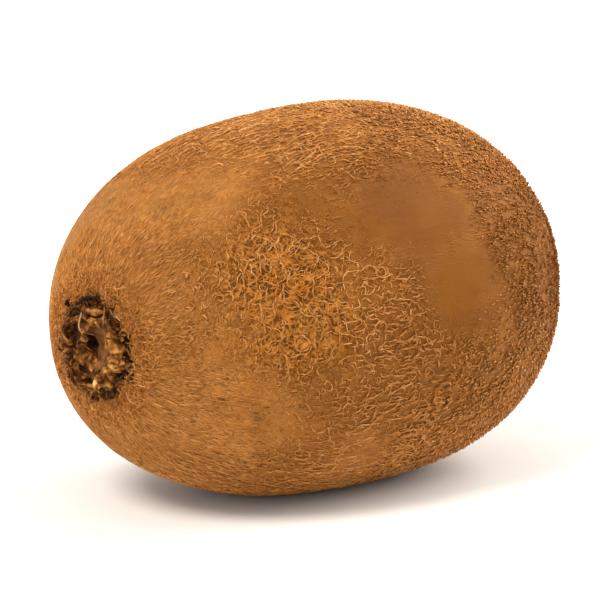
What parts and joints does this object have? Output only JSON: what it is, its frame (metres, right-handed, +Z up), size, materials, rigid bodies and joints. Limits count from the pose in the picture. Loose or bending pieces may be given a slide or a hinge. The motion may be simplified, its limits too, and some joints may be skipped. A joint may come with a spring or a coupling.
{
  "type": "kiwi fruit",
  "caption": "Whole brown fuzzy kiwi fruit lying on its side, a barrel-shaped ovoid with dried sepals round the stem scar and a small beak at the blossom end.",
  "frame": {"origin": "middle of the fruit's outline, on the surface it rests on", "axes": "+X along the fruit from its stem end to its blossom end, +Z up as it lies at rest"},
  "size_m": [0.0714, 0.0502, 0.0478],
  "materials": {
    "skin": "matt, covered in short fuzz",
    "calyx": "dry and matt"
  },
  "bodies": {
    "root": {"fruit": "skin", "sepal_top": "calyx", "sepal_front": "calyx", "sepal_bottom": "calyx", "sepal_back_bottom": "calyx", "sepal_back": "calyx"}
  },
  "joints": []
}
